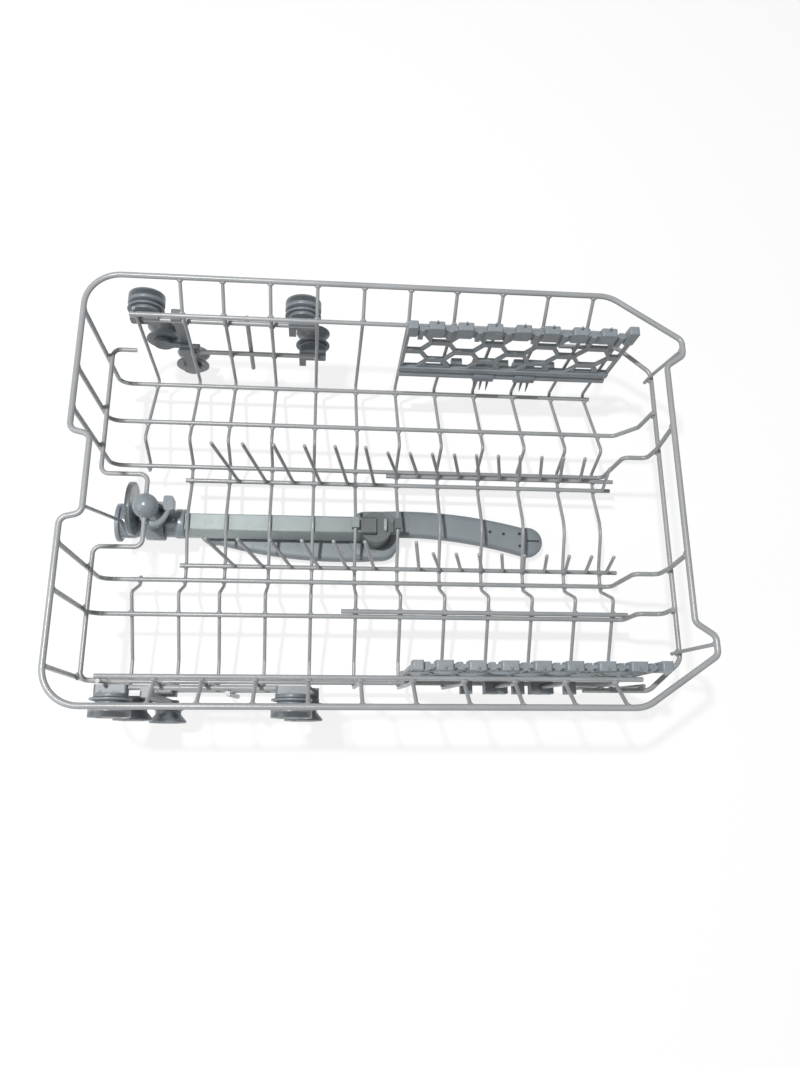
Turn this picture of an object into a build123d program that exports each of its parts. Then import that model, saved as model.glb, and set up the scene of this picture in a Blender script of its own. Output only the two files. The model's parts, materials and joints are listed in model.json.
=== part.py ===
"""Upper basket of a slim dishwasher: coated wire, side rollers, folding shelves, spray arm.

Millimetres, +Z up. +X is the door side, -X the side where the water comes in.
Z = 0 is the underside of the lowest piece, and X = Y = 0 is the middle of the rim's box.
"""
import os
from math import cos, hypot, radians, sin

from build123d import *

os.makedirs("parts", exist_ok=True)

# Wire diameters and the small gap left at every weld
rim_dia = 5.0
floor_dia = 4.2
cross_dia = 3.2
tine_dia = 3.2
rail_dia = 4.5
weld_gap = 0.1

# The rim, seen from above
rim_length = 520.0
rim_width = 360.0
rear_corner_radius = 29.0
notch_half_width = 33.0
notch_flare = 4.0
notch_depth = 16.5
chamfer_length = 63.0
chamfer_depth = 41.0
ear_length = 15.0
front_setback = 16.0
jog_width = 11.0
rim_bend = 7.0

# Section of the basket across its width, as drops below the rim
flare_drop = 24.0
flare_width = 20.0
wall_lean = 0.042
far_trough_drop = 155.0
near_trough_drop = 138.0
near_trough_width = 24.0
ridge_drop = 110.0
ridge_y = 74.0
seat_drop = 144.0
seat_outer_y = 61.0
seat_inner_y = 38.0
arch_drop = 128.5
cross_bend = 4.0
arch_bend = 30.0

# Cross wires along the length
cross_count = 11
cross_rear_inset = 77.4
cross_front_inset = 40.2
cross_end_pitch = 36.4
rear_half_inset = 36.0

# Floor wires: distance from the middle plane, and how far their ends lie inside the rim
outer_floor_inset = 14.0
near_floor_inset = 9.0
slope_floor_y = 93.1
seat_floor_y = 56.5
tine_rail_y = 42.5
floor_bend = 12.0
floor_front_inset = 30.5
short_floor_inset = 36.0
ledge_drop = 80.0
doubling_lead = 13.4
doubling_inset = 27.0
tine_bar_inset = 20.0
tine_bar_margin = 11.0
tine_rail_lead = 5.4
tine_rail_inset = 24.0

# Wires round the walls
side_wire_dia = 4.0
side_wire_rear_inset = 32.0
side_wire_front_inset = 54.0
ring_drop = 62.0
ring_front_inset = 3.5
ring_corner_inset = 43.0
ring_chamfer_inset = 34.0
ring_arm_inset = 92.0
ring_top_margin = 6.0
strut_inset = 6.0
strut_margin = 7.0
rear_mid_drop = 88.0
rear_mid_inset = 26.0
rear_mid_stub = 22.0
saddle_inset = 46.25
saddle_far_y = 30.0
saddle_near_y = -38.0
inlet_strut_y = -27.0

# Tines
tall_tine_length = 103.0
short_tine_length = 66.0
tall_lean = 8.5
short_lean = 13.5
tall_lead = 9.2
tall_pitch = 26.6
tall_count = 6
short_pitch = 20.7
short_far_count = 10
short_far_margin = 34.7
short_near_count = 9
short_near_margin = 10.9
extra_tall_gap = 20.0
extra_short_margin = 8.0
tine_tip_fillet = 1.3

# Rollers and what carries them
roller_flange_dia = 33.0
roller_flange_width = 1.8
roller_waist_dia = 23.0
roller_waist_start = 4.5
roller_waist_end = 7.5
drum_groove_start = 2.8
drum_groove_end = 4.2
drum_start = 5.6
roller_width = 15.0
roller_recess_dia = 23.0
roller_recess_depth = 3.0
axle_dia = 9.0
axle_fit = 0.1
roller_side_play = 0.5
axle_head_dia = 13.0
axle_head_width = 2.4
roller_offset = 11.5
upper_roller_drop = 45.0
lower_roller_drop = 100.0
bottom_roller_drop = 152.0
upper_rear_inset = 41.25
upper_front_gap = 12.95
lower_rear_inset = 48.25
lower_front_gap = 3.95
bottom_rear_inset = 69.0
lower_rail_gap = 3.4
rail_end_margin = 13.0
holder_length = 26.0
holder_height = 11.0
holder_fillet = 2.0
holder_wall_gap = 0.5
holder_clip_fit = 0.12
holder_disc_dia = 27.0
holder_disc_thickness = 3.0
holder_leg_width = 6.5
holder_leg_length = 18.0
holder_leg_thickness = 5.0
carrier_width = 9.0
carrier_thickness = 4.5
carrier_end_margin = 7.0
carrier_clip_length = 19.0
carrier_boss_dia = 18.0
tie_lead = 18.45
tie_top_margin = 3.0
tie_foot_margin = 36.0
tie_dia = 4.2

# Folding cup shelves
shelf_length = 207.0
shelf_front_inset = 36.5
hinge_inset = 12.5
hinge_drop = 100.0
hinge_bar_dia = 8.0
shelf_depth = 94.0
shelf_thickness = 3.0
shelf_rib_height = 15.0
shelf_rib_thickness = 6.0
shelf_frame = 3.0
hex_radius = 15.3
hex_pitch = 49.0
hex_row_pitch = 17.2
hex_rows = 3
hex_columns = 5
hex_first_row = 29.0
hex_shift = 2.75
slot_length = 17.0
slot_height = 8.0
slot_offset = 7.0
block_pitch = 26.0
block_count = 7
block_width = 14.0
block_height = 16.0
block_rise = 6.0
block_thickness = 7.5
block_fillet = 1.5
end_block_width = 9.0
prong_rise = 5.0
post_width = 4.5
post_foot = 72.0
post_thickness = 6.0
stop_pitch = 46.8
stop_count = 3
stop_width = 10.5
stop_reach = 15.5
stop_thickness = 7.0
window_margin = 1.5
clip_first = 8
clip_last = 9
clip_width = 20.0
clip_ring_dia = 13.0
clip_bar_fit = 0.1
clip_wire_fit = 0.6
clip_back = 4.5
clip_slot_width = 4.0
clip_slot_offset = 5.0
clip_slot_height = 2.0

# Feed pipe, duct, hub and spray arm, on the middle plane
pipe_drop = 146.0
pipe_bore_dia = 22.0
pipe_dia = 26.5
pipe_rear_inset = 10.0
pipe_wire_gap = 3.4
mouth_dia = 37.0
mouth_length = 4.0
mouth_lip = 2.0
mouth_cone = 7.0
neck_dia = 30.0
shield_inset = 26.0
shield_dia = 50.0
shield_thickness = 5.0
shield_rise = 28.0
shield_side = 6.0
pipe_ring_dia = 28.5
pipe_ring_length = 8.0
clamp_length = 17.0
clamp_wall = 3.2
clamp_fit = 0.1
clamp_dome_dia = 23.0
clamp_stem_dia = 17.0
clamp_collar_dia = 25.0
clamp_collar_drop = 121.0
clamp_collar_side = 3.0
clamp_tab_lead = 12.0
clamp_tab_side = 9.0
clamp_tab_length = 9.0
clamp_tab_width = 14.0
clamp_tab_height = 15.0
clamp_tab_fillet = 2.0
clamp_bar_width = 6.0
clamp_bar_height = 8.0
duct_top_drop = 135.5
duct_bottom_drop = 165.0
duct_top_width = 16.5
duct_width = 18.5
duct_wall = 2.5
duct_edge = 1.5
duct_spigot_dia = 24.0
spigot_fit = 0.1
spigot_bore_dia = 16.0
hub_dia = 31.0
hub_lug_height = 12.0
hub_top_drop = 141.5
hub_bottom_drop = 171.0
hub_hook_length = 7.0
hub_hook_width = 10.0
hub_hook_rise = 3.0
hook_fit = 0.2
stub_dia = 18.0
stub_fit = 0.1
thread_dia = 11.0
thread_fit = 0.1
arm_thickness = 13.0
arm_gap = 0.6
arm_half_length = 175.5
arm_boss_dia = 50.0
arm_boss_rise = 1.5
arm_root_high = 25.5
arm_root_low = -1.0
arm_mid_x = 90.0
arm_mid_high = 23.5
arm_mid_low = -4.0
arm_tip_x = 156.0
arm_tip_high = 11.5
arm_tip_low = -18.0
arm_tip_y = -2.5
nozzle_dia = 3.0
nozzle_depth = 5.0
nozzle_places = ((120.4, 6.0), (134.4, 4.0), (151.2, 4.5), (151.2, -8.5))
nut_dia = 30.0
nut_height = 7.0
nut_floor = 2.0
nut_edge = 1.5

# Values worked out from the sizes above
rim_height = hub_bottom_drop + arm_boss_rise + arm_thickness + 2 * arm_gap + nut_height
rim_rear_x = -rim_length / 2
rim_front_x = rim_length / 2
rim_side_y = rim_width / 2
wall_top_y = rim_side_y - flare_width
rim_weld = rim_dia / 2 + weld_gap
front_rim_x = rim_front_x - front_setback
ring_front_x = rim_front_x - ring_front_inset
riser_front_x = ring_front_x - floor_dia - weld_gap
inner_pitches = cross_count - 3
first_cross_x = rim_rear_x + cross_rear_inset
last_cross_x = rim_front_x - cross_front_inset
inner_rear_x = first_cross_x + cross_end_pitch
cross_pitch = (last_cross_x - cross_end_pitch - inner_rear_x) / inner_pitches
inner_xs = [inner_rear_x + cross_pitch * i for i in range(inner_pitches + 1)]
cross_xs = [first_cross_x] + inner_xs + [last_cross_x]


def below(drop):
    """Height of a point that lies this far below the rim's centre line."""
    return rim_height - drop


def wall_y(drop):
    """Distance of the wall's centre line from the middle plane; the wall leans in downwards."""
    return wall_top_y - wall_lean * (drop - flare_drop)


def outside_wall(drop, diameter):
    """Distance from the middle plane of a wire welded to the outside of the wall."""
    return wall_y(drop) + ((cross_dia + diameter) / 2 + weld_gap) * hypot(1, wall_lean)


def far_half():
    """Cross wire from the far trough to the middle: corners as (distance from middle, drop)."""
    return [
        (wall_y(far_trough_drop), far_trough_drop),
        (ridge_y, ridge_drop),
        (seat_outer_y, seat_drop),
        (seat_inner_y, seat_drop),
    ]


def near_half():
    """Cross wire from the near trough, which has a flat floor, to the middle."""
    trough_y = wall_y(near_trough_drop)
    return [
        (trough_y, near_trough_drop),
        (trough_y - near_trough_width, near_trough_drop),
        (ridge_y, ridge_drop),
        (seat_outer_y, seat_drop),
        (seat_inner_y, seat_drop),
    ]


def on_cross_wire(half, y, diameter):
    """Drop of a lengthways wire that lies on the cross wires at a distance y from the middle."""
    for (outer_y, outer_drop), (inner_y, inner_drop) in zip(half, half[1:]):
        if inner_y <= y <= outer_y:
            slope = (outer_drop - inner_drop) / (outer_y - inner_y)
            lift = ((cross_dia + diameter) / 2 + weld_gap) * hypot(1, slope)
            return inner_drop + slope * (y - inner_y) - lift
    raise ValueError(f"no floor at {y}")


def bent_wire(label, points, bends, diameter, closed=False):
    """One wire: a round section carried along straight runs with rounded corners."""
    with BuildPart() as wire:
        with BuildLine() as route:
            if len(points) == 2:
                Line(*points)
            else:
                FilletPolyline(*points, radius=bends, close=closed)
        start = route.wires()[0]
        with BuildSketch(Plane(origin=start @ 0, z_dir=start % 0)):
            Circle(diameter / 2)
        sweep(path=start)
    wire.part.label = label
    export_step(wire.part, f"parts/{label}.step")
    return wire.part


# Rim: one closed wire with a notch over the water inlet and two ears beside the set-back front
chamfer_start_x = rim_front_x - chamfer_length
ear_outer_y = rim_side_y - chamfer_depth
ear_inner_y = ear_outer_y - ear_length
notch_x = rim_rear_x + notch_depth
rim_half = [
    (notch_x, notch_half_width, rim_bend),
    (rim_rear_x, notch_half_width + notch_flare, rim_bend),
    (rim_rear_x, rim_side_y, rear_corner_radius),
    (chamfer_start_x, rim_side_y, rear_corner_radius),
    (rim_front_x, ear_outer_y, rim_bend),
    (rim_front_x, ear_inner_y, rim_bend),
    (front_rim_x, ear_inner_y - jog_width, rim_bend),
]
rim_corners = rim_half + [(x, -y, bend) for x, y, bend in reversed(rim_half)]
bent_wire(
    "rim_wire",
    [(x, y, rim_height) for x, y, bend in rim_corners],
    [bend for x, y, bend in rim_corners],
    rim_dia,
    closed=True,
)

# Cross wires: out to the rim at both sides, down the walls, over the ridges and the pipe
flare_run = hypot(flare_width, flare_drop)
flare_end_y = rim_side_y - rim_weld * flare_width / flare_run
flare_end_drop = rim_weld * flare_drop / flare_run
ring_end_drop = ring_drop - ring_top_margin
half_end_drop = flare_drop - side_wire_dia


def cross_wire_corners(x, top):
    """Corners of one whole cross wire, from the far side to the near side."""
    far = top + far_half()
    near = top + near_half()
    corners = [(x, y, below(drop)) for y, drop in far]
    corners.append((x, 0, below(arch_drop)))
    corners.extend((x, -y, below(drop)) for y, drop in reversed(near))
    return corners


def cross_wire_bends(corners):
    """A gentle arch over the pipe, and tight bends everywhere else."""
    return [arch_bend if y == 0 else cross_bend for x, y, z in corners[1:-1]]


flared_top = [(flare_end_y, flare_end_drop), (wall_top_y, flare_drop)]
plain_top = [(wall_y(ring_end_drop), ring_end_drop)]
for number, x in enumerate(cross_xs, start=1):
    corners = cross_wire_corners(x, plain_top if number == cross_count else flared_top)
    bent_wire(f"cross_wire_{number:02d}", corners, cross_wire_bends(corners), cross_dia)

# Rear half wires: they stop short of the pipe on either side
rear_half_x = rim_rear_x + rear_half_inset
with BuildPart() as rear_half_wires:
    for side, half in ((1, far_half()), (-1, near_half())):
        profile = [(wall_y(half_end_drop), half_end_drop)] + half[:-1]
        profile.append((seat_floor_y - floor_dia, seat_drop))
        with BuildLine() as half_route:
            FilletPolyline(*[(rear_half_x, side * y, below(d)) for y, d in profile], radius=cross_bend)
        half_wire = half_route.wires()[0]
        with BuildSketch(Plane(origin=half_wire @ 0, z_dir=half_wire % 0)):
            Circle(cross_dia / 2)
        sweep(path=half_wire)
rear_half_wires.part.label = "rear_half_wires"
export_step(rear_half_wires.part, "parts/rear_half_wires.step")

# Floor wires: up to the rim at the rear, and each its own way up at the front
outer_floor_y = wall_top_y - outer_floor_inset
floor_front_x = rim_front_x - floor_front_inset
outer_y = {1: outer_floor_y, 6: wall_top_y - near_floor_inset}
slope_y = {2: slope_floor_y, 5: slope_floor_y}
seat_y = {3: seat_floor_y, 4: seat_floor_y}
lean_x = front_rim_x - riser_front_x
lean_run = hypot(lean_x, ring_drop - ring_top_margin)
top_x = front_rim_x - rim_weld * lean_x / lean_run
top_drop = rim_weld * (ring_drop - ring_top_margin) / lean_run
ring_foot_x = riser_front_x - floor_dia
for number in range(1, 7):
    side = 1 if number <= 3 else -1
    y = {**outer_y, **slope_y, **seat_y}[number]
    floor_drop = on_cross_wire(far_half() if side > 0 else near_half(), y, floor_dia)
    run = [(rim_rear_x, rim_weld), (rim_rear_x, floor_drop)]
    if number in outer_y:
        run.append((rim_front_x - short_floor_inset, floor_drop))
    elif number in seat_y:
        run.append((floor_front_x, floor_drop))
        run.append((floor_front_x, ledge_drop))
        run.append((riser_front_x, ledge_drop))
        run.append((riser_front_x, ring_end_drop))
        run.append((top_x, top_drop))
    elif side > 0:
        run.append((ring_foot_x - floor_bend, floor_drop))
        run.append((riser_front_x, ledge_drop + floor_bend))
        run.append((riser_front_x, ring_end_drop))
    else:
        run.append((floor_front_x, floor_drop))
        run.append((floor_front_x, ledge_drop))
        run.append((riser_front_x, ledge_drop))
        run.append((riser_front_x, ring_end_drop))
    bends = [floor_bend] + [floor_bend / 2] * (len(run) - 3)
    bent_wire(f"floor_wire_{number}", [(x, side * y, below(d)) for x, d in run], bends, floor_dia)


def straight_floor_wire(label, ends, side, y):
    """One straight wire that lies on the cross wires; returns the height of its centre line."""
    half = far_half() if side > 0 else near_half()
    height = below(on_cross_wire(half, y, floor_dia))
    bent_wire(label, [(x, side * y, height) for x in ends], 0, floor_dia)
    return height


# Straight wires on the floor: the two tine rails, the bar of the short tines and a doubling wire
tine_rail_rear_x = first_cross_x - tine_rail_lead
tine_rail_front_x = rim_front_x - tine_rail_inset
tine_bar_front_x = rim_front_x - tine_bar_inset
short_far_x = tine_bar_front_x - short_far_margin - short_pitch * (short_far_count - 1)
short_near_x = tine_rail_front_x - short_near_margin - short_pitch * (short_near_count - 1)
tine_bar_rear_x = short_far_x - tine_bar_margin
doubling_y = slope_floor_y - floor_dia - weld_gap
tine_bar_y = seat_floor_y - floor_dia - weld_gap
doubling_x = (cross_xs[4] - doubling_lead, rim_front_x - doubling_inset)
tine_rail_x = (tine_rail_rear_x, tine_rail_front_x)
rail_far_z = straight_floor_wire("tine_rail_far", tine_rail_x, 1, tine_rail_y)
rail_near_z = straight_floor_wire("tine_rail_near", tine_rail_x, -1, tine_rail_y)
tine_bar_z = straight_floor_wire("tine_bar", (tine_bar_rear_x, tine_bar_front_x), 1, tine_bar_y)
straight_floor_wire("doubling_wire", doubling_x, -1, doubling_y)

# Tines: straight pins that lean to the rear, each standing on its rail
tall_xs = [cross_xs[1] + tall_lead + tall_pitch * i for i in range(tall_count)]
short_far_xs = [short_far_x + short_pitch * i for i in range(short_far_count)]
short_near_xs = [short_near_x + short_pitch * i for i in range(short_near_count)]
extra_tall_x = short_near_x - extra_tall_gap
extra_short_x = tine_rail_front_x - extra_short_margin


def tine_row(label, feet, length, lean):
    """A row of pins; each foot is (x, y, height of the rail's centre line)."""
    foot_lift = floor_dia / 2 + weld_gap + tine_dia / 2 * sin(radians(lean))
    with BuildPart() as row:
        for x, y, rail_z in feet:
            leaning = (-sin(radians(lean)), 0, cos(radians(lean)))
            with BuildSketch(Plane(origin=(x, y, rail_z + foot_lift), z_dir=leaning)):
                Circle(tine_dia / 2)
            extrude(amount=length)
        middle_z = feet[0][2] + length * cos(radians(lean)) / 2
        rounds = row.edges().filter_by(GeomType.CIRCLE)
        fillet(rounds.filter_by(lambda edge: edge.center().Z > middle_z), tine_tip_fillet)
    row.part.label = label
    export_step(row.part, f"parts/{label}.step")


tine_row("tall_tines_far", [(x, tine_rail_y, rail_far_z) for x in tall_xs], tall_tine_length, tall_lean)
tine_row(
    "tall_tines_near",
    [(x, -tine_rail_y, rail_near_z) for x in tall_xs + [extra_tall_x]],
    tall_tine_length,
    tall_lean,
)
tine_row(
    "short_tines_far",
    [(x, tine_bar_y, tine_bar_z) for x in short_far_xs] + [(extra_short_x, tine_rail_y, rail_far_z)],
    short_tine_length,
    short_lean,
)
tine_row(
    "short_tines_near",
    [(x, -tine_rail_y, rail_near_z) for x in short_near_xs],
    short_tine_length,
    short_lean,
)


def straight_pair(label, ends, y, height, diameter):
    """Two equal straight wires, one on each side of the middle plane."""
    with BuildPart() as pair:
        for side in (1, -1):
            with BuildSketch(Plane(origin=(ends[0], side * y, height), z_dir=(1, 0, 0))):
                Circle(diameter / 2)
            extrude(amount=ends[1] - ends[0])
    pair.part.label = label
    export_step(pair.part, f"parts/{label}.step")


# Side wires, inside the bend of the flare
side_wire_y = wall_top_y - ((cross_dia + side_wire_dia) / 2 + weld_gap) * hypot(1, wall_lean)
side_wire_x = (rim_rear_x + side_wire_rear_inset, rim_front_x - side_wire_front_inset)
straight_pair("side_wires", side_wire_x, side_wire_y, below(flare_drop), side_wire_dia)

# Front ring: a wire round the front corners, lower than the rim
ring_arm_y = outside_wall(ring_drop, floor_dia)
ring_half = [
    (rim_front_x - ring_arm_inset, ring_arm_y),
    (rim_front_x - ring_chamfer_inset, ring_arm_y),
    (ring_front_x, rim_side_y - ring_corner_inset),
]
ring_corners = ring_half + [(x, -y) for x, y in reversed(ring_half)]
bent_wire("front_ring_wire", [(x, y, below(ring_drop)) for x, y in ring_corners], floor_bend, floor_dia)

# Corner struts: from the inside of the front ring up to the ears of the rim
strut_x = ring_front_x - (floor_dia + cross_dia) / 2 - weld_gap
strut_y = ear_inner_y + strut_inset
strut_lean = rim_front_x - strut_x
strut_run = hypot(strut_lean, ring_drop - strut_margin)
strut_top_x = rim_front_x - rim_weld * strut_lean / strut_run
strut_top_drop = rim_weld * (ring_drop - strut_margin) / strut_run
with BuildPart() as corner_struts:
    for side in (1, -1):
        strut_points = [
            (strut_x, side * strut_y, below(ring_drop + strut_margin)),
            (strut_x, side * strut_y, below(ring_drop - strut_margin)),
            (strut_top_x, side * strut_y, below(strut_top_drop)),
        ]
        with BuildLine() as strut_route:
            FilletPolyline(*strut_points, radius=cross_bend)
        strut_wire = strut_route.wires()[0]
        with BuildSketch(Plane(origin=strut_wire @ 0, z_dir=strut_wire % 0)):
            Circle(cross_dia / 2)
        sweep(path=strut_wire)
corner_struts.part.label = "corner_struts"
export_step(corner_struts.part, "parts/corner_struts.step")

# Rear wire: across the rear risers, with a step forward over the pipe and stubs at its ends
rear_mid_x = rim_rear_x + floor_dia + weld_gap
rear_mid_end_y = rim_side_y - rear_mid_inset
saddle_x = rim_rear_x + saddle_inset
rear_mid_route = [
    (rear_mid_x + rear_mid_stub, rear_mid_end_y),
    (rear_mid_x, rear_mid_end_y),
    (rear_mid_x, saddle_far_y),
    (saddle_x, saddle_far_y),
    (saddle_x, saddle_near_y),
    (rear_mid_x, saddle_near_y),
    (rear_mid_x, -rear_mid_end_y),
    (rear_mid_x + rear_mid_stub, -rear_mid_end_y),
]
bent_wire("rear_mid_wire", [(x, y, below(rear_mid_drop)) for x, y in rear_mid_route], rim_bend, floor_dia)

# Inlet strut: from the notch of the rim to the neck of the inlet pipe, square to both
strut_height = pipe_drop
strut_length = hypot(inlet_strut_y, strut_height)
strut_side = inlet_strut_y / strut_length
strut_fall = strut_height / strut_length
neck_weld = neck_dia / 2 + weld_gap
strut_top_gap = (rim_weld - cross_dia / 2 * strut_side) / strut_fall
inlet_strut_ends = [
    (notch_x, inlet_strut_y - strut_top_gap * strut_side, below(strut_top_gap * strut_fall)),
    (notch_x, neck_weld * strut_side, below(pipe_drop - neck_weld * strut_fall)),
]
bent_wire("inlet_strut", inlet_strut_ends, 0, cross_dia)

# Roller rails on the outside of the walls, and the ties that join each pair
upper_rear_x = rim_rear_x + upper_rear_inset
upper_front_x = cross_xs[3] - upper_front_gap
lower_rear_x = rim_rear_x + lower_rear_inset
lower_front_x = cross_xs[3] - lower_front_gap
bottom_rear_x = rim_rear_x + bottom_rear_inset
upper_rail_y = outside_wall(upper_roller_drop, rail_dia)
lower_rail_y = outside_wall(lower_roller_drop, rail_dia)
upper_rail_x = (upper_rear_x - holder_fillet, upper_front_x + rail_end_margin)
lower_rail_x = (first_cross_x - lower_rail_gap, lower_front_x + rail_end_margin)
straight_pair("roller_rails_upper", upper_rail_x, upper_rail_y, below(upper_roller_drop), rail_dia)
straight_pair("roller_rails_lower", lower_rail_x, lower_rail_y, below(lower_roller_drop), rail_dia)
tie_x = cross_xs[1] + tie_lead
tie_offset = ((cross_dia + tie_dia) / 2 + rail_dia + 2 * weld_gap) * hypot(1, wall_lean)
with BuildPart() as rail_ties:
    for side in (1, -1):
        tie_top = upper_roller_drop - tie_top_margin
        tie_foot = lower_roller_drop + tie_foot_margin
        with BuildLine() as tie_route:
            Line(
                (tie_x, side * (wall_y(tie_top) + tie_offset), below(tie_top)),
                (tie_x, side * (wall_y(tie_foot) + tie_offset), below(tie_foot)),
            )
        tie_wire = tie_route.wires()[0]
        with BuildSketch(Plane(origin=tie_wire @ 0, z_dir=tie_wire % 0)):
            Circle(tie_dia / 2)
        sweep(path=tie_wire)
rail_ties.part.label = "rail_ties"
export_step(rail_ties.part, "parts/rail_ties.step")

# Rollers: the upper ones are drums with a groove, the others spools with a cone; each outer face is recessed
roller_bore = axle_dia / 2 + axle_fit
roller_inner_y = wall_top_y + roller_offset
roller_outer_y = roller_inner_y + roller_width
drum_profile = (drum_groove_start, drum_groove_end, drum_start)
spool_profile = (roller_waist_start, roller_waist_end, roller_width - roller_flange_width)


def roller(label, x, side, drop, profile):
    """One roller, as a half section turned about the axle's line."""
    waist_start, waist_end, full_width_start = profile
    across = Plane(origin=(x, 0, below(drop)), x_dir=(0, side, 0), z_dir=(side, 0, 0))
    with BuildPart() as spool:
        with BuildSketch(across):
            with BuildLine():
                Polyline(
                    (roller_inner_y, roller_bore),
                    (roller_inner_y, roller_flange_dia / 2),
                    (roller_inner_y + roller_flange_width, roller_flange_dia / 2),
                    (roller_inner_y + waist_start, roller_waist_dia / 2),
                    (roller_inner_y + waist_end, roller_waist_dia / 2),
                    (roller_inner_y + full_width_start, roller_flange_dia / 2),
                    (roller_outer_y, roller_flange_dia / 2),
                    (roller_outer_y, roller_recess_dia / 2),
                    (roller_outer_y - roller_recess_depth, roller_recess_dia / 2),
                    (roller_outer_y - roller_recess_depth, roller_bore),
                    close=True,
                )
            make_face()
        revolve(axis=Axis((x, 0, below(drop)), (0, side, 0)))
    spool.part.label = label
    export_step(spool.part, f"parts/{label}.step")


roller_places = {
    "upper_rear": (upper_rear_x, upper_roller_drop),
    "upper_front": (upper_front_x, upper_roller_drop),
    "lower_rear": (lower_rear_x, lower_roller_drop),
    "lower_front": (lower_front_x, lower_roller_drop),
    "bottom_rear": (bottom_rear_x, bottom_roller_drop),
}
for name, side in (("far", 1), ("near", -1)):
    for place, (x, drop) in roller_places.items():
        profile = drum_profile if place.startswith("upper") else spool_profile
        roller(f"roller_{place}_{name}", x, side, drop, profile)

# Axles: each stands on a holder or a carrier, and ends in a snap head inside the roller's recess
axle_seat_y = roller_inner_y - roller_side_play
axle_head_y = roller_outer_y - roller_recess_depth + roller_side_play


def seat_plane(x, side, drop):
    """Plane of an axle's seat, facing outwards: its x runs along the basket, its y points down."""
    return Plane(origin=(x, side * axle_seat_y, below(drop)), x_dir=(side, 0, 0), z_dir=(0, side, 0))


def axle(x, side, drop):
    """An axle with its head, grown from the seat."""
    with BuildPart() as pin:
        with BuildSketch(seat_plane(x, side, drop)):
            Circle(axle_dia / 2)
        extrude(amount=axle_head_y + axle_head_width - axle_seat_y)
        with BuildSketch(seat_plane(x, side, drop).offset(axle_head_y - axle_seat_y)):
            Circle(axle_head_dia / 2)
        extrude(amount=axle_head_width)
    return pin.part


def rail_groove(side, drop, rail_x, rail_y):
    """The round groove that a rail leaves in the plastic clipped on it."""
    with BuildPart() as groove:
        with BuildSketch(Plane(origin=(rail_x[0] - weld_gap, side * rail_y, below(drop)), z_dir=(1, 0, 0))):
            Circle(rail_dia / 2 + holder_clip_fit)
        extrude(amount=rail_x[1] - rail_x[0] + 2 * weld_gap)
    return groove.part


def holder(x, side, drop, rail_x, rail_y, leg):
    """One roller holder: a clip on the rail, a disc under the axle and, at the front ones, a leg."""
    seat = seat_plane(x, side, drop)
    inner_y = wall_y(drop) + cross_dia / 2 + holder_wall_gap
    leg_x = side * (holder_leg_width - holder_length) / 2
    with BuildPart() as piece:
        with BuildSketch(seat):
            Circle(holder_disc_dia / 2)
        extrude(amount=-holder_disc_thickness)
        with BuildSketch(seat.offset(inner_y - axle_seat_y)):
            RectangleRounded(holder_length, holder_height, holder_fillet)
        extrude(amount=axle_seat_y - inner_y - holder_disc_thickness)
        if leg:
            with BuildSketch(seat.offset(inner_y - axle_seat_y)):
                with Locations((leg_x, holder_leg_length / 2)):
                    Rectangle(holder_leg_width, holder_leg_length)
            extrude(amount=holder_leg_thickness)
        add(axle(x, side, drop))
        add(rail_groove(side, drop, rail_x, rail_y), mode=Mode.SUBTRACT)
    return piece.part


def carrier(side):
    """One carrier: an upright clipped on both rails, with the axles of the two rear rollers below."""
    seat = seat_plane(bottom_rear_x, side, lower_roller_drop)
    top = upper_roller_drop - lower_roller_drop
    foot = bottom_roller_drop - lower_roller_drop
    reach = side * (lower_rear_x - bottom_rear_x)
    upper_inner_y = wall_y(upper_roller_drop) + cross_dia / 2 + holder_wall_gap
    lower_inner_y = wall_y(lower_roller_drop) + cross_dia / 2 + holder_wall_gap
    clip_x = side * (carrier_clip_length - carrier_width) / 2
    with BuildPart() as piece:
        with BuildSketch(seat):
            with Locations((0, (top + foot) / 2)):
                RectangleRounded(carrier_width, foot - top + 2 * carrier_end_margin, holder_fillet)
            with Locations((reach / 2, 0)):
                Rectangle(abs(reach), carrier_width)
            with Locations((reach, 0), (0, foot)):
                Circle(carrier_boss_dia / 2)
        extrude(amount=-carrier_thickness)
        with BuildSketch(seat.offset(upper_inner_y - axle_seat_y)):
            with Locations((0, top)):
                Rectangle(carrier_width, holder_height)
        extrude(amount=axle_seat_y - upper_inner_y - carrier_thickness)
        with BuildSketch(seat.offset(lower_inner_y - axle_seat_y)):
            with Locations((clip_x, 0)):
                Rectangle(carrier_clip_length, holder_height)
        extrude(amount=axle_seat_y - lower_inner_y - carrier_thickness)
        add(axle(lower_rear_x, side, lower_roller_drop))
        add(axle(bottom_rear_x, side, bottom_roller_drop))
        add(rail_groove(side, upper_roller_drop, upper_rail_x, upper_rail_y), mode=Mode.SUBTRACT)
        add(rail_groove(side, lower_roller_drop, lower_rail_x, lower_rail_y), mode=Mode.SUBTRACT)
    return piece.part


for name, side in (("far", 1), ("near", -1)):
    holder_parts = [
        holder(upper_rear_x, side, upper_roller_drop, upper_rail_x, upper_rail_y, leg=False),
        holder(upper_front_x, side, upper_roller_drop, upper_rail_x, upper_rail_y, leg=True),
        holder(lower_front_x, side, lower_roller_drop, lower_rail_x, lower_rail_y, leg=True),
    ]
    with BuildPart() as holders:
        add(holder_parts)
    holders.part.label = f"roller_holders_{name}"
    export_step(holders.part, f"parts/roller_holders_{name}.step")
    side_carrier = carrier(side)
    side_carrier.label = f"roller_carrier_{name}"
    export_step(side_carrier, f"parts/roller_carrier_{name}.step")

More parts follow.
